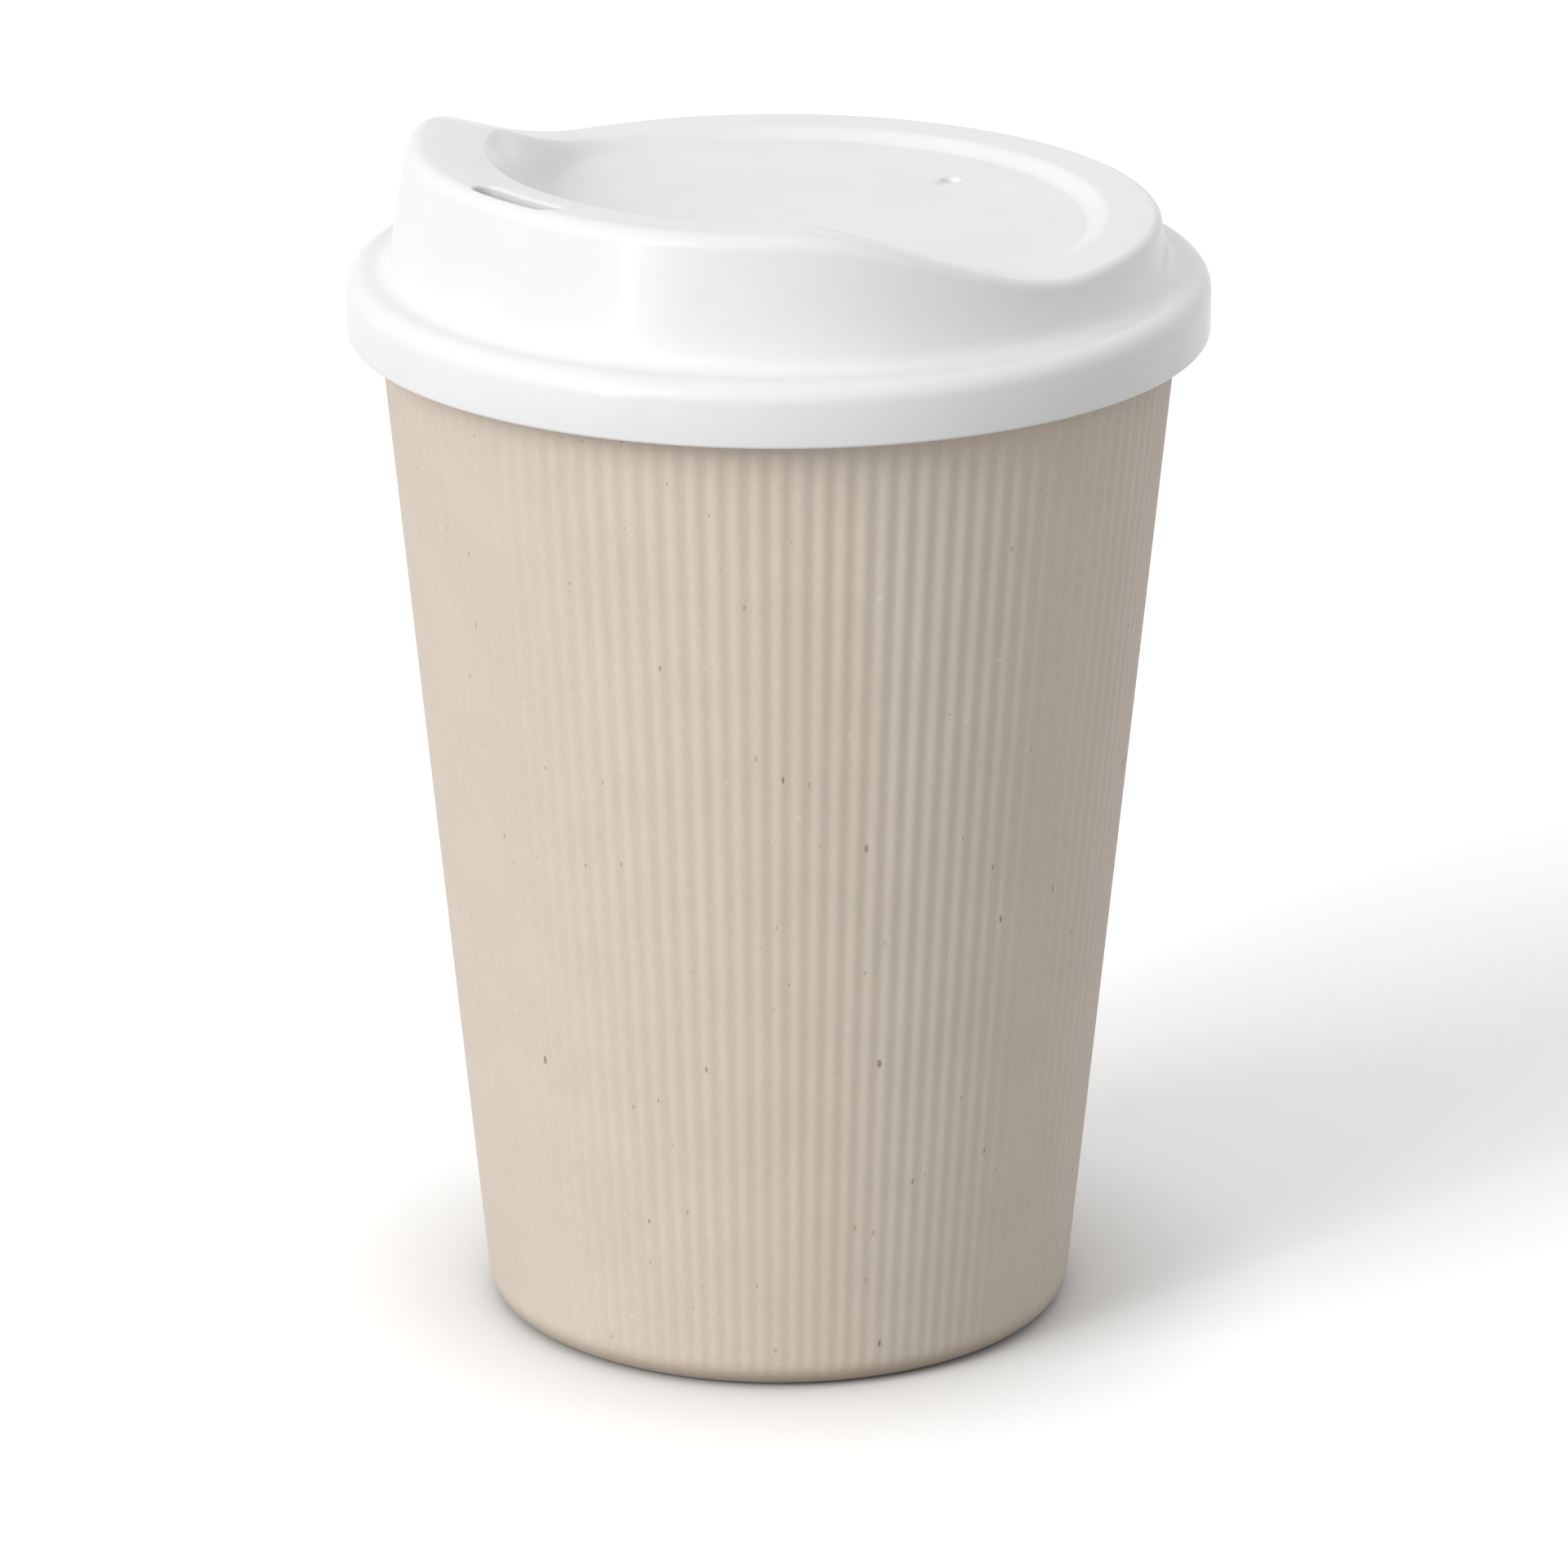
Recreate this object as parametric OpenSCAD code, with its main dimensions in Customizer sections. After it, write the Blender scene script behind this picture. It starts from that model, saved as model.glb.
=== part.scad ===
// Reusable coffee cup: a fluted, tapered cup of one moulding, and a press-on drinking lid of another.
// Millimetres. The cup stands on z = 0 with its axis on Z, and the drinking spout faces -Y.

/* [Cup] */
// Height of the cup from the table to its rim
cup_h = 117.3; // [90:0.1:140]
// Outer diameter of the tapered wall, carried down to the table
base_d = 64.6; // [56:0.2:70]
// Outer diameter of the tapered wall, carried up to the rim
mouth_d = 87.9; // [84:0.1:96]
// Wall thickness, from the crest of a rib to the inner face
cup_wall = 2.3; // [1.6:0.1:3.2]
// Thickness of the floor
floor_t = 2.4; // [1.6:0.1:4]
// Radius between the inner wall and the floor
floor_fillet = 4; // [2:0.5:8]

/* [Foot] */
// Radius of the rounded corner at the table
foot_corner = 3; // [1.5:0.25:4]
// Height of the hollow under the floor
foot_hollow = 1.2; // [0.6:0.1:2]
// Width of the ring that stands on the table
foot_ring_w = 3.4; // [2:0.2:6]

/* [Ribs] */
// Number of ribs round the cup
rib_count = 118; // [90:1:132]
// Depth of the valleys between ribs at the top of the ribbed band
rib_depth = 0.32; // [0.15:0.01:0.6]
// Depth of the valleys at the foot, as a share of that at the top
rib_foot_share = 0.45; // [0.4:0.05:1]
// Height over which each rib runs out at its ends
rib_runout = 0.8; // [0.6:0.1:3]

/* [Rim] */
// How far the bead stands out from the wall
bead_out = 1.25; // [0.6:0.05:1.6]
// Height of the bead
bead_h = 2.4; // [2:0.1:4]
// Radius of the rim's inner and outer edges
rim_edge = 0.7; // [0.3:0.05:0.8]
// Height of the plain neck below the bead
neck_plain = 0.75; // [0.4:0.05:2]

/* [Lid skirt] */
// Thickness of the skirt
skirt_t = 1.4; // [1:0.1:2]
// Gap between the rim's bead and the skirt
skirt_gap = 0.4; // [0.3:0.05:0.8]
// How far the skirt reaches down below its snap ridge
skirt_lip = 0.25; // [0.1:0.05:3]
// Thickness of the ledge that lies on the rim
ledge_t = 1.6; // [1.2:0.1:2.6]
// Width of the ledge, from the skirt's face to the crown's wall
ledge_w = 4.6; // [4:0.1:5.4]
// Radius between the ledge and the crown's wall
ledge_fillet = 2; // [0.6:0.1:2.2]
// Radius of the shoulder between skirt and ledge
shoulder_r = 2.2; // [0.8:0.1:2.6]
// How far the snap ridge stands in from the skirt
snap_in = 0.25; // [0.1:0.01:0.25]
// Gap between the cup's inner face and the seal ring
seal_gap = 0.3; // [0.15:0.05:0.8]
// Thickness of the seal ring
seal_t = 1.3; // [0.9:0.1:2]
// How far the seal ring reaches down below the rim
seal_drop = 4.8; // [3:0.1:7]

/* [Lid crown] */
// Thickness of the crown and plate
crown_t = 1.5; // [1:0.1:2]
// Height of the crown above the ledge, away from the spout
crown_h = 6; // [5:0.1:8]
// Slope of the crown's wall, in degrees from upright
crown_draft = 8.8; // [3:0.1:12]
// Radius of the crown's outer edge
crown_edge = 1.2; // [0.6:0.1:2]
// Radius at which the step down to the plate begins, away from the spout
step_r = 36; // [34:0.2:37]
// Width of that step, away from the spout
step_w = 2.8; // [1.6:0.1:3.2]
// Depth of the plate below the crown's edge
plate_drop = 1.2; // [0.8:0.1:2.4]

/* [Spout] */
// Height of the spout above the rest of the crown
spout_rise = 8.3; // [5:0.1:11]
// Angle from the spout's middle to where its rise ends
spout_half = 99.5; // [85:0.5:110]
// Angle over which each end of the spout rises
spout_blend = 50; // [35:1:55]
// Extra radius of the crown's outer edge at the spout
spout_edge = 0.7; // [0:0.1:1]
// Share of its height that the spout loses away from its middle
spout_arch = 0.02; // [0:0.01:0.2]
// Fall of the spout's top, from its outer edge in to the step
spout_fall = 0.9; // [0:0.1:1.6]
// Extra width of the step at the spout
spout_step_w = 2.1; // [1:0.1:4]
// How far the step's start moves in at the spout
spout_step_in = 4.1; // [2:0.1:5]

/* [Sip slot and vent] */
// Width of the sip slot
slot_w = 3; // [2:0.1:3.4]
// Angle that the sip slot's straight part spans, seen from the lid's axis
slot_span = 14.5; // [10:0.5:24]
// Distance from the spout's outer edge to the slot
slot_inset = 1.35; // [1.3:0.05:2]
// Diameter of the vent hole
vent_d = 1.3; // [0.8:0.1:2]
// Diameter of the dimple round the vent hole
dimple_d = 2.4; // [2.2:0.1:4]
// Distance of the vent hole from the lid's axis
vent_r = 25.4; // [16:0.2:26]

/* [Hidden] */

cup_colour = "#cfc2b2";
lid_colour = "#f2f2f2";

// Facets that stand in for a full turn in the printed views
$fn = 120;

// Taper of the cup, as radius gained for each millimetre of height
taper = (mouth_d - base_d) / 2 / cup_h;
taper_deg = atan(taper);
function wall_r(z) = base_d / 2 + taper * z;
function inner_r(z) = wall_r(z) - cup_wall;

// Heights on the cup
floor_z = foot_hollow + floor_t;
foot_band = 0.1;
foot_top = foot_corner * (1 - sin(taper_deg)) + foot_band;
bead_z = cup_h - bead_h;
bead_foot_edge = 0.2;
bead_foot_z = bead_z - bead_out;
neck_z = bead_foot_z - neck_plain;

// Ribs: points round one rib, and how far a ring's end lies inside the plain band that it meets
rib_points = 6;
rib_seat = 0.02;

// How far the foot and the neck reach into the ribbed wall, along it and below its surface
wall_lap = 0.5;
lap_in = rib_depth + wall_lap;

// Radii and heights on the lid
rim_r = mouth_d / 2 + bead_out;
skirt_in_r = rim_r + skirt_gap;
lid_r = skirt_in_r + skirt_t;
ledge_z = cup_h + ledge_t;
crown_r = lid_r - ledge_w;
crown_z = ledge_z + crown_h;
plate_z = crown_z - plate_drop;
draft = tan(crown_draft);
seal_foot_z = cup_h - seal_drop;
seal_in_r = inner_r(cup_h) - seal_gap - seal_t;
skirt_edge = 0.4;
snap_h = 1;
snap_z = bead_foot_z - snap_h / 2;
skirt_z = snap_z - snap_h / 2 - skirt_lip - skirt_edge;

// Chamfers at the seal ring's foot
seal_edge_in = 0.3;
seal_lead_w = 0.4;
seal_lead_h = 0.6;

// The plate's disc reaches into the flat inner end of the crown
plate_flat_r = step_r - spout_step_in - step_w - spout_step_w;
disc_margin = 0.6;
disc_r = plate_flat_r - disc_margin;
disc_lap = 1;
plate_end_r = disc_r - disc_lap;

// How far the ledge's fillet reaches into the crown's wall
crown_seat = 0.05;

// How far the step's underside is set out from its top, as a share of the crown's thickness
under_share = 0.9;

// Angle from the spout's middle over which its arch falls
arch_deg = 50;

// Steps round the lid, and along its step and its rounded edge
crown_steps = 108;
step_points = 6;
edge_points = 4;

spout_top_z = crown_z + spout_rise;
slot_mid_r = crown_wall_r(spout_top_z) - slot_inset - slot_w / 2;
spout_deg = 270;
cut_margin = 3;
dimple_lip = 0.6;
skin_cut = 0.01;

// Points along an arc in a section: centre, radius, first and last angle, number of spans
function arc(centre, r, from, to, spans) =
    [for (i = [0:spans]) let (a = from + (to - from) * i / spans)
        centre + r * [cos(a), sin(a)]];

// A smooth step from 0 to 1
function ease(t) = let (c = min(1, max(0, t))) c * c * (3 - 2 * c);

// One ring of the ribbed wall at height z; share is how much of the ribs' depth it has
function rib_ring(z, share, inset = 0) =
    let (n = rib_count * rib_points, r = wall_r(z) - inset, depth = share * rib_depth)
    [for (i = [0:n - 1])
        let (a = 360 * i / n, u = (i % rib_points) / rib_points,
             rr = r - depth * pow(abs(2 * u - 1), 2))
        [rr * cos(a), rr * sin(a), z]];

// Two triangles for each span between ring k and ring k + 1 of n points
function band_faces(k, n) =
    [for (i = [0:n - 1]) let (j = (i + 1) % n, low = k * n, high = low + n)
        each [[low + i, high + i, high + j], [low + i, high + j, low + j]]];

// The ribbed part of the wall, solid to the axis
module ribbed_wall() {
    rings = [
        rib_ring(foot_top, 0, rib_seat),
        rib_ring(foot_top + rib_runout, rib_foot_share),
        rib_ring(neck_z - rib_runout, 1),
        rib_ring(neck_z, 0, rib_seat)
    ];
    n = rib_count * rib_points;
    last = len(rings) - 1;
    polyhedron(
        points = [for (ring = rings) each ring],
        faces = concat(
            [[for (i = [0:n - 1]) i]],
            [for (k = [0:last - 1]) each band_faces(k, n)],
            [[for (i = [n - 1:-1:0]) last * n + i]]
        )
    );
}

// The plain foot, with its rounded corner and the hollow under the floor
module foot() {
    corner_x = wall_r(foot_corner) - foot_corner / cos(taper_deg);
    ring_in = corner_x - foot_ring_w;
    rotate_extrude()
        polygon(concat(
            [[0, foot_hollow], [ring_in - foot_hollow, foot_hollow], [ring_in, 0]],
            arc([corner_x, foot_corner], foot_corner, -90, -taper_deg, 8),
            [[wall_r(foot_top), foot_top], [wall_r(foot_top) - lap_in, foot_top],
             [wall_r(foot_top) - lap_in, foot_top + wall_lap], [0, foot_top + wall_lap]]
        ));
}

// The plain neck and the bead round the rim, solid to the axis
module neck() {
    rotate_extrude()
        polygon(concat(
            [[0, neck_z - wall_lap], [wall_r(neck_z - wall_lap) - lap_in, neck_z - wall_lap],
             [wall_r(neck_z - wall_lap) - lap_in, neck_z],
             [wall_r(neck_z), neck_z], [wall_r(bead_foot_z), bead_foot_z],
             [rim_r, bead_z + bead_foot_edge]],
            arc([rim_r - rim_edge, cup_h - rim_edge], rim_edge, 0, 90, 5),
            [[0, cup_h]]
        ));
}

// The space that holds the drink, flared at the lip
module cavity() {
    corner_z = floor_z + floor_fillet * (1 - sin(taper_deg));
    corner_x = inner_r(corner_z) - floor_fillet * cos(taper_deg);
    lip_z = cup_h - rim_edge;
    rotate_extrude()
        polygon(concat(
            [[0, floor_z]],
            arc([corner_x, floor_z + floor_fillet], floor_fillet, -90, -taper_deg, 6),
            arc([inner_r(lip_z) + rim_edge, lip_z], rim_edge, 180, 90, 4),
            [[inner_r(lip_z) + rim_edge, cup_h + cut_margin], [0, cup_h + cut_margin]]
        ));
}

module cup() {
    color(cup_colour)
        difference() {
            union() {
                foot();
                ribbed_wall();
                neck();
            }
            cavity();
        }
}

// The skirt with its snap ridge, the ledge, and the seal ring inside the cup's mouth
module skirt_and_seal() {
    seal_out_r = inner_r(cup_h) - seal_gap;
    fillet = min(ledge_fillet, ledge_w - shoulder_r - crown_seat);
    fillet_x = crown_wall_r(ledge_z + fillet) + fillet - crown_seat;
    rotate_extrude()
        polygon(concat(
            [[seal_in_r, ledge_z]],
            [[seal_in_r, seal_foot_z + seal_edge_in], [seal_in_r + seal_edge_in, seal_foot_z],
             [inner_r(seal_foot_z) - seal_gap - seal_lead_w, seal_foot_z],
             [inner_r(seal_foot_z + seal_lead_h) - seal_gap, seal_foot_z + seal_lead_h],
             [seal_out_r, cup_h]],
            [[skirt_in_r, cup_h], [skirt_in_r, snap_z + snap_h / 2],
             [skirt_in_r - snap_in, snap_z], [skirt_in_r, snap_z - snap_h / 2],
             [skirt_in_r, skirt_z + skirt_edge], [skirt_in_r + skirt_edge, skirt_z]],
            arc([lid_r - skirt_edge, skirt_z + skirt_edge], skirt_edge, -90, 0, 3),
            arc([lid_r - shoulder_r, ledge_z - shoulder_r], shoulder_r, 0, 90, 7),
            arc([fillet_x, ledge_z + fillet], fillet, -90, -180, 6),
            [[fillet_x - fillet, ledge_z]]
        ));
}

// Share of the spout's rise at an angle from the spout's middle
function rise(deg) =
    (1 - spout_arch * ease(deg / arch_deg)) * ease((spout_half - deg) / spout_blend);

// Outer radius of the crown's wall at a height
function crown_wall_r(z) = crown_r - draft * (z - ledge_z);

// The crown's section at an angle from the spout's middle, as a loop of [radius, height]:
// up the wall, over the edge, down the step to the plate, and back along the underside
function crown_section(deg) =
    let (s = rise(deg),
         top = crown_z + spout_rise * s,
         out = crown_wall_r(top),
         edge = crown_edge + spout_edge * s,
         fold = top - spout_fall * s,
         step_out = step_r - spout_step_in * s,
         step_in = step_out - step_w - spout_step_w * s,
         root_z = ledge_z - ledge_t / 2,
         under = crown_t * under_share,
         step = [for (i = [0:step_points]) let (u = i / step_points)
             [step_out + (step_in - step_out) * u, fold + (plate_z - fold) * ease(u)]])
    concat(
        [[crown_wall_r(root_z), root_z]],
        arc([out - edge, top - edge], edge, 0, 90, edge_points),
        [[(out - edge + step_out) / 2, (top + fold) / 2]],
        step,
        [[plate_end_r, plate_z], [plate_end_r, plate_z - crown_t]],
        [for (i = [step_points:-1:0]) step[i] + [under, -crown_t]],
        [[out - 2 * crown_t, top - crown_t], [out - crown_t, top - 2 * crown_t],
         [crown_wall_r(root_z) - crown_t, root_z]]
    );

// The crown: its section carried once round the axis, as one closed ring
module crown() {
    sections = [for (j = [0:crown_steps - 1])
        let (a = 360 * j / crown_steps, off = abs(a - 180)) [a + spout_deg - 180, crown_section(off)]];
    m = len(sections[0][1]);
    polyhedron(
        points = [for (s = sections) each
            [for (p = s[1]) [p[0] * cos(s[0]), p[0] * sin(s[0]), p[1]]]],
        faces = [for (j = [0:crown_steps - 1], k = [0:m - 1])
            let (here = j * m, next = ((j + 1) % crown_steps) * m, up = (k + 1) % m)
            each [[here + k, here + up, next + up], [here + k, next + up, next + k]]]
    );
}

// The curved slot, with round ends, that the drink comes through
module sip_slot() {
    depth = spout_fall + 3 * crown_t;
    rotate([0, 0, spout_deg - slot_span / 2])
        translate([0, 0, spout_top_z - depth]) {
            rotate_extrude(angle = slot_span)
                translate([slot_mid_r - slot_w / 2, 0])
                    square([slot_w, depth + cut_margin]);
            for (a = [0, slot_span])
                rotate([0, 0, a])
                    translate([slot_mid_r, 0, 0])
                        cylinder(d = slot_w, h = depth + cut_margin);
        }
}

// The vent hole and the dimple round it, across the lid from the spout
module vent() {
    dimple_depth = crown_t / 3;
    rotate([0, 0, spout_deg - 180])
        translate([vent_r, 0, plate_z - crown_t - cut_margin])
            cylinder(d = vent_d, h = crown_t + 2 * cut_margin);
    rotate([0, 0, spout_deg - 180])
        translate([vent_r, 0, plate_z - dimple_depth])
            cylinder(d1 = vent_d + dimple_lip, d2 = dimple_d, h = dimple_depth + skin_cut);
}

module lid() {
    color(lid_colour)
        difference() {
            union() {
                skirt_and_seal();
                crown();
                translate([0, 0, plate_z - crown_t]) cylinder(r = disc_r, h = crown_t);
            }
            sip_slot();
            vent();
        }
}

cup();
lid();
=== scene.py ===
"""Fluted reusable coffee cup with its drinking lid, dressed for pictures and laid out as an add-on.

Sizes are in metres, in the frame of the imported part: the cup stands on z = 0 with its axis on Z,
and the drinking spout faces -Y.
"""

import math

import bmesh
import bpy
import numpy as np
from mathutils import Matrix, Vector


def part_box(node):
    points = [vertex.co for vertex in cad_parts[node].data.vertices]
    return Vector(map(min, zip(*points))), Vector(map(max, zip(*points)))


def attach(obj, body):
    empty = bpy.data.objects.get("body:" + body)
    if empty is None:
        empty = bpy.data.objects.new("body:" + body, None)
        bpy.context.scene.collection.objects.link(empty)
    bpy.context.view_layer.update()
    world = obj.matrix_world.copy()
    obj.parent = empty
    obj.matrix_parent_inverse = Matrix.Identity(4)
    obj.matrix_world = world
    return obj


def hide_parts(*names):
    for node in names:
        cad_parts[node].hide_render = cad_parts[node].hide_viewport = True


bl_info = {
    "name": "Fluted coffee cup",
    "version": (1, 0, 0),
    "blender": (4, 5, 0),
    "location": "3D View > Sidebar > Coffee cup",
    "description": "Makes a fluted plant-fibre coffee cup, its drinking lid and a plain studio",
    "category": "Add Mesh",
}

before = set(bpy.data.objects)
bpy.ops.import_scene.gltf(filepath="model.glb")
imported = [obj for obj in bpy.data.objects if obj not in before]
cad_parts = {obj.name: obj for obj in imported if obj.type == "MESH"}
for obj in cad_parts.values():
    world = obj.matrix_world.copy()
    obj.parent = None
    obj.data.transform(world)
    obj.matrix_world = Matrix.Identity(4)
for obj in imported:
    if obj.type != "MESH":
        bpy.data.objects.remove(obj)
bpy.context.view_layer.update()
_, cup_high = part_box("cup")
lid_low, lid_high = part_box("lid")

MM = 0.001
SPOUT_DEG = 270.0
SHARP_DEG = 50.0


# Sizes and colours that a user would change


def length(name, description, default):
    """A size in metres."""
    return bpy.props.FloatProperty(
        name=name, description=description, default=default, min=0.0, unit="LENGTH", precision=5
    )


def angle(name, description, degrees):
    """An angle, given in degrees."""
    return bpy.props.FloatProperty(
        name=name, description=description, default=math.radians(degrees), subtype="ANGLE"
    )


def share(name, description, default):
    """A plain number from 0 to 1."""
    return bpy.props.FloatProperty(
        name=name, description=description, default=default, min=0.0, max=1.0, subtype="FACTOR"
    )


def colour(name, description, default):
    """A linear colour."""
    return bpy.props.FloatVectorProperty(
        name=name, description=description, default=default, size=3, min=0.0, max=1.0, subtype="COLOR"
    )


class CupSizes(bpy.types.PropertyGroup):
    """Sizes of the fluted cup."""

    height: length("Height", "From the table to the rim", cup_high.z)
    base_r: length("Base radius", "Radius of the tapered wall, carried down to the table", 0.0323)
    mouth_r: length("Mouth radius", "Radius of the tapered wall, carried up to the rim", 0.04395)
    wall: length("Wall", "From the crest of a rib to the inner face", 0.0023)
    floor: length("Floor", "Thickness of the floor", 0.0024)
    floor_fillet: length("Floor fillet", "Radius between the inner wall and the floor", 0.004)
    foot_corner: length("Foot corner", "Radius of the rounded corner at the table", 0.003)
    foot_hollow: length("Foot hollow", "Height of the hollow under the floor", 0.0012)
    foot_ring: length("Foot ring", "Width of the ring that stands on the table", 0.0034)
    rib_count: bpy.props.IntProperty(
        name="Ribs", description="Number of ribs round the cup", default=118, min=60, max=150
    )
    rib_depth: length("Rib depth", "Depth of the valleys at the top of the ribs", 0.00019)
    rib_foot: share("Depth at the foot", "Depth of the valleys at the foot, as a share", 0.38)
    rib_wander: share("Unevenness", "How much the depth differs from rib to rib", 0.05)
    bead_out: length("Bead", "How far the rim's bead stands out from the wall", 0.00125)
    bead_h: length("Bead height", "Height of the bead", 0.0024)
    rim_edge: length("Rim edge", "Radius of the rim's edges", 0.0007)
    neck: length("Neck", "Height of the plain neck below the bead", 0.00075)


class LidSizes(bpy.types.PropertyGroup):
    """Sizes of the drinking lid."""

    radius: length("Radius", "Outer radius of the skirt", lid_high.x)
    foot_z: length("Skirt foot", "Height of the skirt's lower edge", lid_low.z)
    top_z: length("Spout top", "Height of the top of the spout", lid_high.z)
    skirt_t: length("Skirt", "Thickness of the skirt", 0.0014)
    skirt_edge: length("Skirt edge", "Radius of the skirt's lower edges", 0.0004)
    shoulder_r: length("Shoulder", "Radius between the skirt and the ledge", 0.0022)
    ledge_t: length("Ledge", "Thickness of the ledge that lies on the rim", 0.0016)
    ledge_w: length("Ledge width", "From the skirt's face to the crown's wall", 0.0046)
    ledge_fillet: length("Ledge fillet", "Radius between the ledge and the crown's wall", 0.002)
    seal_gap: length("Seal gap", "From the cup's inner face to the seal ring", 0.0003)
    seal_t: length("Seal ring", "Thickness of the seal ring", 0.0013)
    seal_drop: length("Seal depth", "How far the seal ring reaches below the rim", 0.0048)
    snap_in: length("Snap ridge", "How far the snap ridge stands in from the skirt", 0.00025)
    crown_t: length("Crown", "Thickness of the crown and the plate", 0.0015)
    crown_draft: angle("Draft", "Slope of the crown's wall from upright", 8.8)
    crown_edge: length("Crown edge", "Radius of the crown's outer edge", 0.0012)
    step_r: length("Step radius", "Where the step down to the plate begins", 0.036)
    step_w: length("Step width", "Width of that step, away from the spout", 0.0028)
    plate_drop: length("Plate drop", "Depth of the plate below the crown's edge", 0.0012)
    spout_rise: length("Spout rise", "Height of the spout above the rest of the crown", 0.0083)
    spout_half: angle("Spout half", "From the spout's middle to where its rise ends", 99.5)
    spout_blend: angle("Spout blend", "Angle over which each end of the spout rises", 50.0)
    spout_edge: length("Spout edge", "Extra radius of the crown's edge at the spout", 0.0007)
    spout_arch: share("Arch", "Share of its height lost away from the spout's middle", 0.02)
    spout_fall: length("Spout fall", "Fall of the spout's top towards the step", 0.0009)
    spout_step_w: length("Spout step", "Extra width of the step at the spout", 0.0021)
    spout_step_in: length("Spout step in", "How far the step moves in at the spout", 0.0041)
    slot_w: length("Slot width", "Width of the sip slot", 0.003)
    slot_span: angle("Slot span", "Angle that the slot's straight part spans", 14.5)
    slot_inset: length("Slot inset", "From the spout's outer edge to the slot", 0.00135)
    slot_lip: length("Slot lip", "Radius of the slot's upper edge", 0.0003)
    vent_d: length("Vent", "Diameter of the vent hole", 0.0013)
    dimple_d: length("Dimple", "Diameter of the dimple round the vent hole", 0.0024)
    vent_r: length("Vent place", "Distance of the vent hole from the lid's axis", 0.0254)


class FinishColours(bpy.types.PropertyGroup):
    """Colours of the cup's fibre and the lid's plastic."""

    fibre: colour("Fibre", "Moulded plant fibre of the cup", (0.735, 0.637, 0.543))
    fleck: colour("Dark flecks", "Husk flecks in the fibre", (0.21, 0.14, 0.09))
    pale: colour("Pale flecks", "Light fibres in the cup's wall", (0.86, 0.79, 0.71))
    # Painted shade, not a coffee stain: dark brown laid on the inside of the lid round its slot.
    slot_painted_shade: colour("Stain", "Coffee left on the inside of the lid round its slot", (0.30, 0.215, 0.16))
    plastic: colour("Lid", "White plastic of the lid", (0.87, 0.87, 0.875))
    fibre_roughness: share("Fibre roughness", "Roughness of the cup", 0.6)
    plastic_roughness: share("Lid roughness", "Roughness of the lid", 0.35)


class StudioLevels(bpy.types.PropertyGroup):
    """Light and floor of the plain studio."""

    key: bpy.props.FloatProperty(name="Key", description="Strength of the key light", default=1.38, min=0.0)
    key_bearing: angle("Key bearing", "Key light's bearing from the camera, to the left", 51.0)
    key_height: angle("Key height", "Key light's height above the horizon", 30.0)
    key_size: angle("Key softness", "Angle that the key light spans", 34.0)
    fill: bpy.props.FloatProperty(
        name="Fill", description="Strength of the even light", default=0.64, min=0.0
    )
    floor: bpy.props.FloatProperty(
        name="Floor", description="How white the floor is to the camera", default=1.26, min=0.0
    )
    contact: share("Contact shade", "How much darker the floor is seen right beside the object", 0.6)
    floor_bounce: share("Floor bounce", "How much light the floor throws back at the object", 0.4)
    strip: bpy.props.FloatProperty(
        name="Strip",
        description="Watts of the tall, narrow lamp that draws the gloss line",
        default=1.7,
        min=0.0,
    )


# Mesh helpers


def arc(centre_r, centre_z, radius, first, last, spans):
    """Points (r, z) along an arc in a section, with its angles in degrees."""
    turn = np.radians(np.linspace(first, last, spans + 1))
    return [(centre_r + radius * math.cos(t), centre_z + radius * math.sin(t)) for t in turn]


def ease(t):
    """A smooth step from 0 to 1."""
    c = np.clip(t, 0.0, 1.0)
    return c * c * (3.0 - 2.0 * c)


def skin(name, rings):
    """A closed mesh through rings of equal length, with the first and the last ring filled."""
    count = len(rings[0])
    ahead = np.roll(np.arange(count), -1)
    here = np.arange(count)
    faces = []
    for k in range(len(rings) - 1):
        low, high = k * count, (k + 1) * count
        faces.extend(zip(low + here, low + ahead, high + ahead, high + here, strict=True))
    faces = [tuple(int(v) for v in face) for face in faces]
    last = (len(rings) - 1) * count
    faces.append(tuple(int(v) for v in here[::-1]))
    faces.append(tuple(int(v) for v in last + here))
    mesh = bpy.data.meshes.new(name)
    mesh.from_pydata(np.concatenate(rings).tolist(), [], faces)
    return mesh


def settle(mesh):
    """Turns the faces outwards, smooths them and marks the edges that are sharper than SHARP_DEG."""
    work = bmesh.new()
    work.from_mesh(mesh)
    bmesh.ops.recalc_face_normals(work, faces=work.faces)
    limit = math.radians(SHARP_DEG)
    for face in work.faces:
        face.smooth = True
    for edge in work.edges:
        edge.smooth = not (edge.is_manifold and edge.calc_face_angle(0.0) > limit)
    work.to_mesh(mesh)
    work.free()


def piece(name, mesh, body, node_name, material):
    """Adds a finished mesh as a piece that stands for a node and rides on its body."""
    made = bpy.data.objects.new(name, mesh)
    bpy.context.scene.collection.objects.link(made)
    made.data.materials.append(material)
    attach(made, body)
    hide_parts(node_name)
    return made


# Material helpers


def place(tree, kind, values=None, **settings):
    """Adds a node, sets its options, and sets or links its inputs."""
    made = tree.nodes.new(kind)
    for option, value in settings.items():
        setattr(made, option, value)
    for socket, value in (values or {}).items():
        target = made.inputs[socket]
        if isinstance(value, bpy.types.NodeSocket):
            tree.links.new(value, target)
        else:
            target.default_value = value
    return made


def maths(tree, operation, first, second=0.0):
    """One sum on numbers or sockets."""
    return place(tree, "ShaderNodeMath", {0: first, 1: second}, operation=operation).outputs[0]


def ramp(tree, value, low, high):
    """0 below low and 1 above high, smooth in between; low may be above high."""
    made = place(
        tree,
        "ShaderNodeMapRange",
        {"Value": value, "From Min": low, "From Max": high},
        interpolation_type="SMOOTHSTEP",
    )
    return made.outputs["Result"]


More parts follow.
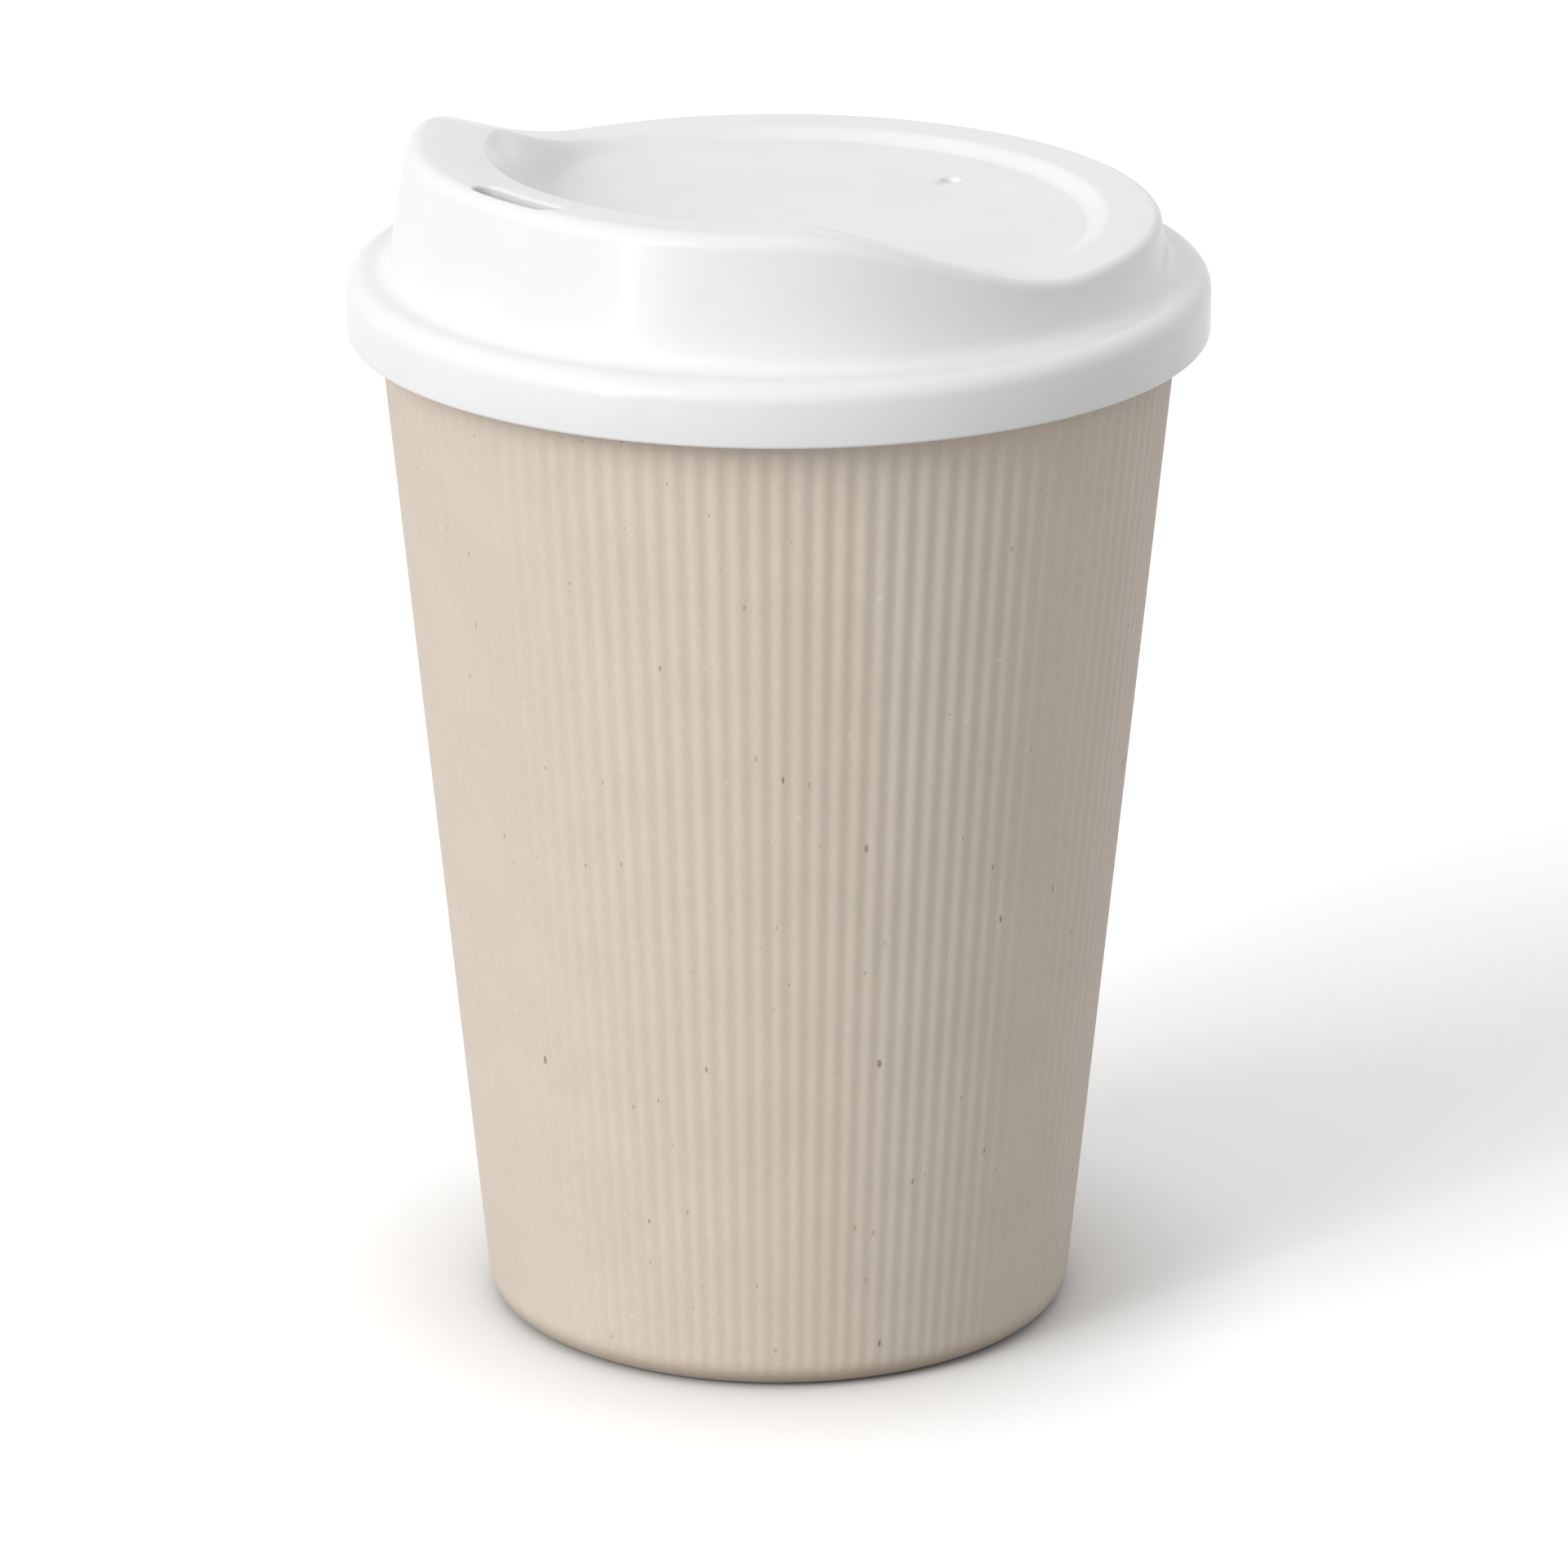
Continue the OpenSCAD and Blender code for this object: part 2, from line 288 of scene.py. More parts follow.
def blend_colours(tree, factor, first, second, how="MIX"):
    """Mixes two colours."""
    made = place(tree, "ShaderNodeMix", data_type="RGBA", blend_type=how)
    for socket, value in ((made.inputs[0], factor), (made.inputs[6], first), (made.inputs[7], second)):
        if isinstance(value, bpy.types.NodeSocket):
            tree.links.new(value, socket)
        else:
            socket.default_value = value
    return made.outputs[2]


def rgba(values, factor=1.0):
    """A colour with full alpha."""
    return (values[0] * factor, values[1] * factor, values[2] * factor, 1.0)


def new_material(name):
    """An empty material with its principled shader."""
    made = bpy.data.materials.new(name)
    made.use_nodes = True
    tree = made.node_tree
    return made, tree, tree.nodes["Principled BSDF"]


def surface_grain():
    """A group shared by the finishes: an uneven moulded surface, as a height and a slow change of tone."""
    found = bpy.data.node_groups.get("Surface grain")
    if found:
        return found
    tree = bpy.data.node_groups.new("Surface grain", "ShaderNodeTree")
    for name, kind, default in (
        ("Position", "NodeSocketVector", None),
        ("Grain size", "NodeSocketFloat", 0.5),
        ("Patch size", "NodeSocketFloat", 8.0),
    ):
        socket = tree.interface.new_socket(name, in_out="INPUT", socket_type=kind)
        if default is not None:
            socket.default_value = default
    tree.interface.new_socket("Height", in_out="OUTPUT", socket_type="NodeSocketFloat")
    tree.interface.new_socket("Tone", in_out="OUTPUT", socket_type="NodeSocketFloat")
    given = tree.nodes.new("NodeGroupInput")
    result = tree.nodes.new("NodeGroupOutput")
    grain_scale = maths(tree, "DIVIDE", 1.0, given.outputs["Grain size"])
    patch_scale = maths(tree, "DIVIDE", 1.0, given.outputs["Patch size"])
    grain = place(
        tree,
        "ShaderNodeTexNoise",
        {"Vector": given.outputs["Position"], "Scale": grain_scale, "Detail": 3.0, "Roughness": 0.6},
    )
    patches = place(
        tree,
        "ShaderNodeTexNoise",
        {"Vector": given.outputs["Position"], "Scale": patch_scale, "Detail": 4.0, "Roughness": 0.55},
    )
    tree.links.new(grain.outputs["Fac"], result.inputs["Height"])
    tree.links.new(patches.outputs["Fac"], result.inputs["Tone"])
    return tree


def grain_node(tree, position, grain_size, patch_size):
    """Places the shared group in a material."""
    made = tree.nodes.new("ShaderNodeGroup")
    made.node_tree = surface_grain()
    tree.links.new(position, made.inputs["Position"])
    made.inputs["Grain size"].default_value = grain_size
    made.inputs["Patch size"].default_value = patch_size
    return made


def millimetres(tree):
    """Object coordinates, in millimetres."""
    source = tree.nodes.new("ShaderNodeTexCoord")
    made = place(tree, "ShaderNodeVectorMath", {0: source.outputs["Object"]}, operation="SCALE")
    made.inputs["Scale"].default_value = 1.0 / MM
    return made.outputs[0]


def flecks(tree, position, cell, radius, kept, stretch, turn):
    """A mask of scattered flecks: cells of a size in mm, a radius in cells and the share that is kept."""
    turned = place(
        tree,
        "ShaderNodeMapping",
        {"Vector": position, "Rotation": turn, "Scale": [s / cell for s in stretch]},
    )
    bend = place(tree, "ShaderNodeTexNoise", {"Vector": turned.outputs[0], "Scale": 2.3, "Detail": 2.0})
    bent = place(tree, "ShaderNodeMix", {0: 0.12}, data_type="VECTOR")
    tree.links.new(turned.outputs[0], bent.inputs[4])
    tree.links.new(bend.outputs["Color"], bent.inputs[5])
    cells = place(tree, "ShaderNodeTexVoronoi", {"Vector": bent.outputs[1], "Scale": 1.0, "Randomness": 1.0})
    chance = place(tree, "ShaderNodeSeparateColor", {"Color": cells.outputs["Color"]})
    size = maths(tree, "MULTIPLY_ADD", chance.outputs["Green"], radius * 0.8)
    size.node.inputs[2].default_value = radius * 0.5
    near = maths(tree, "DIVIDE", cells.outputs["Distance"], size)
    inside = ramp(tree, near, 1.0, 0.6)
    chosen = maths(tree, "LESS_THAN", chance.outputs["Red"], kept)
    return maths(tree, "MULTIPLY", inside, chosen)


def fibre_material():
    """Matt moulded plant fibre: mottled beige, fine fibres, husk flecks, painted shade in the rib valleys and
    a painted contact shade at the foot.
    """
    colours = bpy.context.scene.cup_colours
    sizes = bpy.context.scene.cup_sizes
    material, tree, shader = new_material("Moulded plant fibre")
    position = millimetres(tree)
    grain = grain_node(tree, position, 0.42, 9.0)

    patches = ramp(tree, grain.outputs["Tone"], 0.36, 0.66)
    mottled = blend_colours(tree, patches, rgba(colours.fibre, 0.98), rgba(colours.fibre, 1.012))
    specks = ramp(tree, grain.outputs["Height"], 0.34, 0.68)
    fine = blend_colours(tree, specks, (0.972, 0.968, 0.962, 1.0), (1.012, 1.012, 1.012, 1.0))
    grained = blend_colours(tree, 1.0, mottled, fine, "MULTIPLY")

    strands = place(
        tree,
        "ShaderNodeMapping",
        {"Vector": position, "Rotation": (0.5, 0.35, 0.0), "Scale": (2.6, 2.6, 0.55)},
    )
    strand = place(
        tree,
        "ShaderNodeTexNoise",
        {"Vector": strands.outputs[0], "Scale": 1.0, "Detail": 3.0, "Distortion": 0.8},
    )
    pale = maths(tree, "MULTIPLY", ramp(tree, strand.outputs["Fac"], 0.60, 0.70), 0.16)
    stranded = blend_colours(tree, pale, grained, rgba(colours.pale))

    small = flecks(tree, position, 1.7, 0.11, 0.25, (1.0, 1.0, 0.6), (0.3, 0.5, 0.2))
    large = flecks(tree, position, 3.3, 0.07, 0.35, (1.25, 1.25, 0.5), (0.7, 0.35, 0.9))
    light = flecks(tree, position, 2.6, 0.1, 0.25, (1.0, 0.7, 1.0), (0.2, 1.2, 0.4))
    flecked = blend_colours(tree, maths(tree, "MULTIPLY", small, 0.4), stranded, rgba(colours.fleck, 1.6))
    flecked = blend_colours(tree, maths(tree, "MULTIPLY", large, 0.65), flecked, rgba(colours.fleck))
    flecked = blend_colours(tree, maths(tree, "MULTIPLY", light, 0.45), flecked, rgba(colours.pale))

    axes = place(tree, "ShaderNodeSeparateXYZ", {0: position})
    x, y, z = axes.outputs
    turn = maths(tree, "ARCTAN2", y, x)
    along = maths(tree, "MULTIPLY", turn, sizes.rib_count / math.tau)
    part = maths(tree, "FRACT", along)
    from_crest = maths(tree, "ABSOLUTE", maths(tree, "SUBTRACT", part, 0.5))
    valley = ramp(tree, from_crest, 0.34, 0.5)
    taper = (sizes.mouth_r - sizes.base_r) / sizes.height
    wall = maths(tree, "ADD", maths(tree, "MULTIPLY", z, taper), sizes.base_r / MM)
    squares = maths(tree, "ADD", maths(tree, "MULTIPLY", x, x), maths(tree, "MULTIPLY", y, y))
    depth = maths(tree, "SUBTRACT", wall, maths(tree, "SQRT", squares))
    outside = ramp(tree, depth, 1.4, 0.9)
    # Painted shade in the rib valleys: a darker copy of the fibre colour is laid into each valley on the
    # outside of the wall, fading in above the foot.
    ribbed = maths(tree, "MULTIPLY", ramp(tree, z, 1.2, 3.5), maths(tree, "MULTIPLY", outside, valley))
    painted_valley_shade = blend_colours(tree, maths(tree, "MULTIPLY", ribbed, 0.06), flecked, rgba(colours.fibre, 0.62))
    # Painted contact shade: the outside of the cup is darkened and warmed over its lowest 4 mm, where shade
    # from the table falls.
    foot = maths(tree, "MULTIPLY", ramp(tree, z, 3.8, 0.4), ramp(tree, depth, 7.0, 4.0))
    foot_contact_shaded = blend_colours(tree, foot, painted_valley_shade, (0.70, 0.66, 0.60, 1.0), "MULTIPLY")
    tree.links.new(foot_contact_shaded, shader.inputs["Base Color"])

    rough = place(
        tree,
        "ShaderNodeMapRange",
        {
            "Value": grain.outputs["Height"],
            "To Min": colours.fibre_roughness - 0.07,
            "To Max": colours.fibre_roughness + 0.1,
        },
    )
    tree.links.new(rough.outputs["Result"], shader.inputs["Roughness"])
    relief = maths(
        tree,
        "ADD",
        maths(tree, "MULTIPLY", grain.outputs["Height"], 0.7),
        maths(tree, "MULTIPLY", strand.outputs["Fac"], 0.5),
    )
    relief = maths(tree, "SUBTRACT", relief, maths(tree, "MULTIPLY", large, 0.35))
    bump = place(tree, "ShaderNodeBump", {"Strength": 0.3, "Distance": 0.05 * MM, "Height": relief})
    tree.links.new(bump.outputs["Normal"], shader.inputs["Normal"])
    shader.inputs["IOR"].default_value = 1.42
    shader.inputs["Specular IOR Level"].default_value = 0.5
    shader.inputs["Sheen Weight"].default_value = 0.22
    shader.inputs["Sheen Roughness"].default_value = 0.4
    return material


# The middle of the painted brown shade round the slot: from the crown's wall inwards, and from the spout's top
# down.
SLOT_IN = 0.006
SLOT_DOWN = 0.008


def plastic_material(name, slot_shaded):
    """Semi-gloss white plastic with a faint orange peel and uneven polish; when its second argument is true,
    it adds a painted brown shade round the slot.
    """
    colours = bpy.context.scene.cup_colours
    lid = bpy.context.scene.lid_sizes
    material, tree, shader = new_material(name)
    position = millimetres(tree)
    grain = grain_node(tree, position, 1.1, 14.0)
    patches = ramp(tree, grain.outputs["Tone"], 0.35, 0.65)
    tone = blend_colours(tree, patches, rgba(colours.plastic, 0.985), rgba(colours.plastic, 1.01))
    if slot_shaded:
        # Painted shade: a dark brown laid on the inside of the lid round the slot. It is full within 12 mm of
        # the slot's middle and gone at 19 mm, standing in for the dim, brownish light inside the lid.
        slot_r = lid.radius - lid.ledge_w - SLOT_IN
        slot = (0.0, -slot_r / MM, (lid.top_z - SLOT_DOWN) / MM)
        away = place(tree, "ShaderNodeVectorMath", {0: position, 1: slot}, operation="DISTANCE")
        tone = blend_colours(tree, ramp(tree, away.outputs["Value"], 19.0, 12.0), tone, rgba(colours.slot_painted_shade))
    tree.links.new(tone, shader.inputs["Base Color"])
    worn = place(
        tree,
        "ShaderNodeTexNoise",
        {"Vector": position, "Scale": 0.16, "Detail": 5.0, "Roughness": 0.65, "Distortion": 0.6},
    )
    rough = place(
        tree,
        "ShaderNodeMapRange",
        {
            "Value": worn.outputs["Fac"],
            "From Min": 0.3,
            "From Max": 0.7,
            "To Min": colours.plastic_roughness - 0.04,
            "To Max": colours.plastic_roughness + 0.06,
        },
    )
    tree.links.new(rough.outputs["Result"], shader.inputs["Roughness"])
    bump = place(
        tree,
        "ShaderNodeBump",
        {"Strength": 0.12, "Distance": 0.02 * MM, "Height": grain.outputs["Height"]},
    )
    tree.links.new(bump.outputs["Normal"], shader.inputs["Normal"])
    shader.inputs["IOR"].default_value = 1.48
    shader.inputs["Coat Weight"].default_value = 0.3
    shader.inputs["Coat Roughness"].default_value = 0.1
    return material


# The cup


def cup_wall_r(sizes, z):
    """Radius of the tapered wall at a height."""
    return sizes.base_r + (sizes.mouth_r - sizes.base_r) * z / sizes.height


def cup_inner_r(sizes, z):
    """Radius of the cup's inner face at a height."""
    return cup_wall_r(sizes, z) - sizes.wall


POINTS_PER_RIB = 10
# Radius of the flat disc in the middle of the cup's underside and of its floor.
MIDDLE_R = 0.012
# Where the ribs begin above the table, and the height over which they deepen to the foot's share.
RIB_START = 0.0007
RIB_EASE = 0.0028
# The first part of the wall above the foot's corner, which has closer rings.
FOOT_BAND = 0.0014


def cup_rings(sizes):
    """The cup's skin from the middle of its underside, up the ribbed wall, over the rim and down inside."""
    spread = np.arange(POINTS_PER_RIB) / POINTS_PER_RIB
    count = sizes.rib_count
    turn = ((np.arange(count)[:, None] + spread[None, :]) / count * math.tau).ravel()
    random = np.random.default_rng(7)
    valley = 0.5 + 0.5 * np.cos(math.tau * spread)
    lean = np.degrees(math.atan((sizes.mouth_r - sizes.base_r) / sizes.height))

    rib_phase = random.uniform(0.0, math.tau, count)

    def plain(r, z):
        """A smooth ring."""
        return np.column_stack([r * np.cos(turn), r * np.sin(turn), np.full_like(turn, z)])

    def wander(phase):
        """A seeded factor for each rib's depth, about 1 in the mean, that changes slowly up the wall."""
        each = 1.0 + sizes.rib_wander * np.sin(phase + rib_phase)
        return np.repeat(each, len(spread))

    def fluted(r, z, depth_share):
        """A ring of radius r at the crests, with a share of the ribs' depth between them."""
        depth = sizes.rib_depth * depth_share * wander(z / MM / 40.0)
        return plain(r - depth * np.tile(valley, count), z)

    def ribbed(z, depth_share):
        """A fluted ring on the tapered wall."""
        return fluted(cup_wall_r(sizes, z), z, depth_share)

    def foot_share(z):
        """Share of the ribs' depth at a height near the table."""
        return sizes.rib_foot * float(ease((z - RIB_START) / RIB_EASE))

    corner = sizes.foot_corner
    corner_r = cup_wall_r(sizes, corner) - corner / math.cos(math.radians(lean))
    ring_in = corner_r - sizes.foot_ring
    hollow = sizes.foot_hollow
    hollow_r = ring_in - hollow - 0.0004
    hollow_edge = 0.0005
    ring_edge = 0.0003
    rings = [plain(MIDDLE_R, hollow), plain(hollow_r, hollow)]
    rings += [plain(r, z) for r, z in arc(hollow_r, hollow - hollow_edge, hollow_edge, 90, 45, 2)[1:]]
    rings += [plain(ring_in - ring_edge, ring_edge), plain(ring_in, 0.0)]
    for r, z in arc(corner_r, corner, corner, -90, -lean, 12):
        rings.append(fluted(r, z, foot_share(z)))

    neck_top = sizes.height - sizes.bead_h - sizes.bead_out
    neck_foot = neck_top - sizes.neck
    first = corner + 0.0001
    for step in (0.0, 0.5, 1.0):
        z = first + FOOT_BAND * step
        rings.append(ribbed(z, foot_share(z)))
    last = neck_foot - 0.0006
    for step in np.linspace(0.0, 1.0, 18)[1:]:
        z = first + FOOT_BAND + (last - first - FOOT_BAND) * step
        rings.append(ribbed(z, sizes.rib_foot + (1.0 - sizes.rib_foot) * step))
    rings += [ribbed(neck_foot - 0.0003, 0.5), plain(cup_wall_r(sizes, neck_foot), neck_foot)]

    rim_r = sizes.mouth_r + sizes.bead_out
    edge = sizes.rim_edge
    bead_edge = 0.0001
    top = sizes.height
    rings += [
        plain(cup_wall_r(sizes, neck_top), neck_top),
        plain(rim_r - bead_edge, top - sizes.bead_h),
        plain(rim_r, top - sizes.bead_h + 2.0 * bead_edge),
    ]
    rings += [plain(r, z) for r, z in arc(rim_r - edge, top - edge, edge, 0, 90, 4)]
    lip = top - edge
    rings += [plain(r, z) for r, z in arc(cup_inner_r(sizes, lip) + edge, lip, edge, 90, 180, 4)]
    floor_z = hollow + sizes.floor
    fillet = sizes.floor_fillet
    corner_z = floor_z + fillet * (1.0 - math.sin(math.radians(lean)))
    inner_corner = cup_inner_r(sizes, corner_z) - fillet * math.cos(math.radians(lean))
    for z in np.linspace(lip, corner_z, 7)[1:-1]:
        rings.append(plain(cup_inner_r(sizes, z), z))
    rings += [plain(r, z) for r, z in arc(inner_corner, floor_z + fillet, fillet, -lean, -90, 7)]
    rings.append(plain(MIDDLE_R, floor_z))
    return rings


class CUP_OT_fluted_cup(bpy.types.Operator):
    """Makes the fluted cup with its foot, rim and inside."""

    bl_idname = "coffee_cup.fluted_cup"
    bl_label = "Fluted cup"

    def execute(self, context):
        mesh = skin("fluted_cup", cup_rings(context.scene.cup_sizes))
        settle(mesh)
        piece("fluted_cup", mesh, "cup", "cup", fibre_material())
        return {"FINISHED"}


# The lid


# Radii of the loops on the flat plate, and the number of points round the lid and the vent.
PLATE_LOOPS = (0.014, 0.022, 0.0266)
LID_STEPS = 360
VENT_STEPS = 32


class LidForm:
    """The lid's heights and radii, and its section at each angle from the spout's middle."""

    def __init__(self, lid, cup):
        self.lid = lid
        self.cup = cup
        self.cup_h = cup.height
        self.ledge_z = cup.height + lid.ledge_t
        self.crown_z = lid.top_z - lid.spout_rise
        self.plate_z = self.crown_z - lid.plate_drop
        self.crown_r = lid.radius - lid.ledge_w
        self.draft = lid.crown_draft
        self.skirt_in_r = lid.radius - lid.skirt_t
        self.lean = np.array([math.cos(self.draft), math.sin(self.draft)])
        self.wall_offset = self.crown_r * self.lean[0] + self.ledge_z * self.lean[1]

    def wall_r(self, z):
        """Outer radius of the crown's wall at a height."""
        return self.crown_r - math.tan(self.draft) * (z - self.ledge_z)

    def inset_r(self, z, inset):
        """Radius at a height, on the line that lies inside the crown's wall by an inset."""
        return (self.wall_offset - inset - z * self.lean[1]) / self.lean[0]

    def rise(self, off):
        """Share of the spout's rise at angles from its middle, in radians."""
        arch = 1.0 - self.lid.spout_arch * ease(off / math.radians(50.0))
        return arch * ease((self.lid.spout_half - off) / self.lid.spout_blend)

    def top_parts(self, off):
        """Heights and radii of the crown's top at angles from the spout's middle."""
        lid = self.lid
        s = self.rise(off)
        top = self.crown_z + lid.spout_rise * s
        edge = lid.crown_edge + lid.spout_edge * s
        edge_r = self.inset_r(top - edge, edge)
        fold = top - lid.spout_fall * s
        step_out = lid.step_r - lid.spout_step_in * s
        step_in = step_out - lid.step_w - lid.spout_step_w * s
        return top, edge, edge_r, fold, step_out, step_in

    def top_z(self, r, off):
        """Height of the spout's top surface at a radius, outside the step."""
        top, edge, edge_r, fold, step_out, _ = self.top_parts(off)
        slope = fold + (top - fold) * (r - step_out) / (edge_r - step_out)
        over = np.clip(r - edge_r, 0.0, edge * 0.999)
        rounded = top - edge + np.sqrt(edge * edge - over * over)
        return np.where(r > edge_r, rounded, slope)

    def section(self, off):
        """The section as a list of (radii, heights), from the plate over the lid and back inside."""
        lid, cup = self.lid, self.cup
        top, edge, edge_r, fold, step_out, step_in = self.top_parts(off)
        flat = np.ones_like(off)
        points = [(r * flat, self.plate_z * flat) for r in PLATE_LOOPS]
        step_spans = 18
        step = []
        for i in range(step_spans + 1):
            u = i / step_spans
            step.append((step_out + (step_in - step_out) * u, fold + (self.plate_z - fold) * float(ease(u))))
        points += step[::-1]
        for part in (0.35, 0.7):
            points.append((step_out + (edge_r - step_out) * part, fold + (top - fold) * part))
        edge_spans = 10
        for i in range(edge_spans + 1):
            turn = math.radians(90.0) + (self.draft - math.radians(90.0)) * i / edge_spans
            points.append((edge_r + edge * math.cos(turn), top - edge + edge * math.sin(turn)))

        fillet = lid.ledge_fillet
        fillet_z = self.ledge_z + fillet
        fillet_r = self.inset_r(fillet_z, -fillet)
        foot_r = fillet_r - fillet * self.lean[0]
        foot_z = fillet_z - fillet * self.lean[1]
        head_r, head_z = points[-1]
        for part in (0.25, 0.5, 0.75):
            points.append((head_r + (foot_r - head_r) * part, head_z + (foot_z - head_z) * part))
        below = arc(fillet_r, fillet_z, fillet, 180 + math.degrees(self.draft), 270, 8)
        shoulder = lid.shoulder_r
        below += arc(lid.radius - shoulder, self.ledge_z - shoulder, shoulder, 90, 0, 9)
        skirt_edge = lid.skirt_edge
        below += arc(lid.radius - skirt_edge, lid.foot_z + skirt_edge, skirt_edge, 0, -90, 4)
        self.inside_from = len(points) + len(below)
        snap_half = 0.0005
        snap_z = cup.height - cup.bead_h - cup.bead_out - snap_half
        inner = self.skirt_in_r
        ridge_r = inner - lid.snap_in * 0.9
        ridge_half = snap_half * 0.2
        below += [
            (inner + skirt_edge, lid.foot_z),
            (inner, lid.foot_z + skirt_edge),
            (inner, snap_z - snap_half),
            (ridge_r, snap_z - ridge_half),
            (ridge_r, snap_z + ridge_half),
            (inner, snap_z + snap_half),
            (inner, self.cup_h),
        ]
        seal_foot = self.cup_h - lid.seal_drop
        seal_in = cup_inner_r(cup, self.cup_h) - lid.seal_gap - lid.seal_t
        lead, lead_in = 0.0006, 0.0004
        seal_edge = 0.0003
        below += [
            (cup_inner_r(cup, self.cup_h) - lid.seal_gap, self.cup_h),
            (cup_inner_r(cup, seal_foot + lead) - lid.seal_gap, seal_foot + lead),
            (cup_inner_r(cup, seal_foot) - lid.seal_gap - lead_in, seal_foot),
            (seal_in + seal_edge, seal_foot),
            (seal_in, seal_foot + seal_edge),
            (seal_in, self.ledge_z),
            (self.crown_r - lid.crown_t, self.ledge_z + 0.0002),
        ]
        points += [(r * flat, z * flat) for r, z in below]
        out = self.wall_r(top)
        points.append((out - lid.crown_t, top - 2.0 * lid.crown_t))
        points.append((out - 2.0 * lid.crown_t, top - lid.crown_t))
        under = 0.9 * lid.crown_t
        points += [(r + under, z - lid.crown_t) for r, z in step[::2]]
        points += [(r * flat, (self.plate_z - lid.crown_t) * flat) for r in (PLATE_LOOPS[-1], PLATE_LOOPS[0])]
        return points

    def mesh(self):
        """The whole lid as one skin, not yet cut; its inner faces have material index 1."""
        turn = np.linspace(0.0, math.tau, LID_STEPS, endpoint=False)
        off = np.abs(turn - math.pi)
        world = turn - math.pi + math.radians(SPOUT_DEG)
        rings = []
        for r, z in self.section(off):
            rings.append(np.column_stack([r * np.cos(world), r * np.sin(world), z]))
        mesh = skin("drinking_lid", rings)
        for face in mesh.polygons:
            face.material_index = int(face.index >= self.inside_from * LID_STEPS)
        mesh.polygons[len(mesh.polygons) - 2].material_index = 0
        return mesh

    def slot_cutter(self):
        """The shape of the sip slot, with a rounded lip that follows the spout's top."""
        lid = self.lid
        half_w = lid.slot_w / 2.0
        middle = self.wall_r(lid.top_z) - lid.slot_inset - half_w
        half_span = lid.slot_span / 2.0

        def outline(grow):
            """The slot's outline, seen from above and wider by a margin all round."""
            reach = half_w + grow
            plan = []
            for side, span in ((1.0, 1), (-1.0, -1)):
                side_r = middle + side * reach
                for a in np.linspace(-half_span, half_span, 25) * span:
                    plan.append((side_r * math.cos(a), side_r * math.sin(a)))
                end = half_span * span
                centre = np.array([middle * math.cos(end), middle * math.sin(end)])
                for t in np.linspace(0.0, math.pi, 11)[1:-1]:
                    t = end + span * t if side > 0 else end + math.pi + t
                    plan.append(tuple(centre + reach * np.array([math.cos(t), math.sin(t)])))
            return np.array(plan)

        lip = lid.slot_lip
        levels = [(lip + 0.0006, 0.0012), (lip * 0.9, 0.00003)]
        for turn in (75.0, 55.0, 35.0, 15.0, 0.0):
            t = math.radians(turn)
            levels.append((lip * (1.0 - math.cos(t)), -lip * (1.0 - math.sin(t))))
        rings = []
        for grow, height in levels:
            plan = outline(grow)
            r = np.hypot(plan[:, 0], plan[:, 1])
            off = np.abs(np.arctan2(plan[:, 1], plan[:, 0]))
            rings.append(np.column_stack([plan, self.top_z(r, off) + height]))
        plan = outline(0.0)
        below = lid.top_z - lid.spout_fall - 3.0 * lid.crown_t
        rings.append(np.column_stack([plan, np.full(len(plan), below)]))
        turn = math.radians(SPOUT_DEG)
        c, s = math.cos(turn), math.sin(turn)
        spin = np.array([[c, s, 0], [-s, c, 0], [0, 0, 1]])
        return skin("slot_cutter", [ring @ spin for ring in rings])

    def vent_cutter(self):
        """The vent hole and the dimple round it."""
        lid = self.lid
        turn = np.linspace(0.0, math.tau, VENT_STEPS, endpoint=False)
        way = math.radians(SPOUT_DEG - 180.0)
        centre = (lid.vent_r * math.cos(way), lid.vent_r * math.sin(way))
        dimple = lid.dimple_d / 2.0
        hole = lid.vent_d / 2.0
        z = self.plate_z
        depth = lid.crown_t / 3.0
        outline = [
            (dimple + 0.0004, z + 0.0006),
            (dimple, z + 0.00002),
            (dimple - 0.00012, z - 0.00008),
            (hole + 0.0003, z - depth),
            (hole + 0.0001, z - depth - 0.00005),
            (hole, z - depth - 0.0002),
            (hole, z - lid.crown_t - 0.002),
        ]
        rings = []
        for r, h in outline:
            x, y = centre[0] + r * np.cos(turn), centre[1] + r * np.sin(turn)
            rings.append(np.column_stack([x, y, np.full(VENT_STEPS, h)]))
        return skin("vent_cutter", rings)


def cut(mesh, cutters):
    """The mesh with the cutters taken out of it."""
    scene = bpy.context.scene
    body = bpy.data.objects.new("lid_body", mesh)
    scene.collection.objects.link(body)
    tools = []
    for cutter in cutters:
        settle(cutter)
        tool = bpy.data.objects.new(cutter.name, cutter)
        scene.collection.objects.link(tool)
        tools.append(tool)
        modifier = body.modifiers.new(cutter.name, "BOOLEAN")
        modifier.operation = "DIFFERENCE"
        modifier.solver = "EXACT"
        modifier.object = tool
    bpy.context.view_layer.update()
    graph = bpy.context.evaluated_depsgraph_get()
    result = bpy.data.meshes.new_from_object(body.evaluated_get(graph))
    if len(result.polygons) < len(mesh.polygons) / 2:
        raise RuntimeError("the slot or the vent could not be cut from the lid")
    for made in (body, *tools):
        bpy.data.objects.remove(made)
    return result


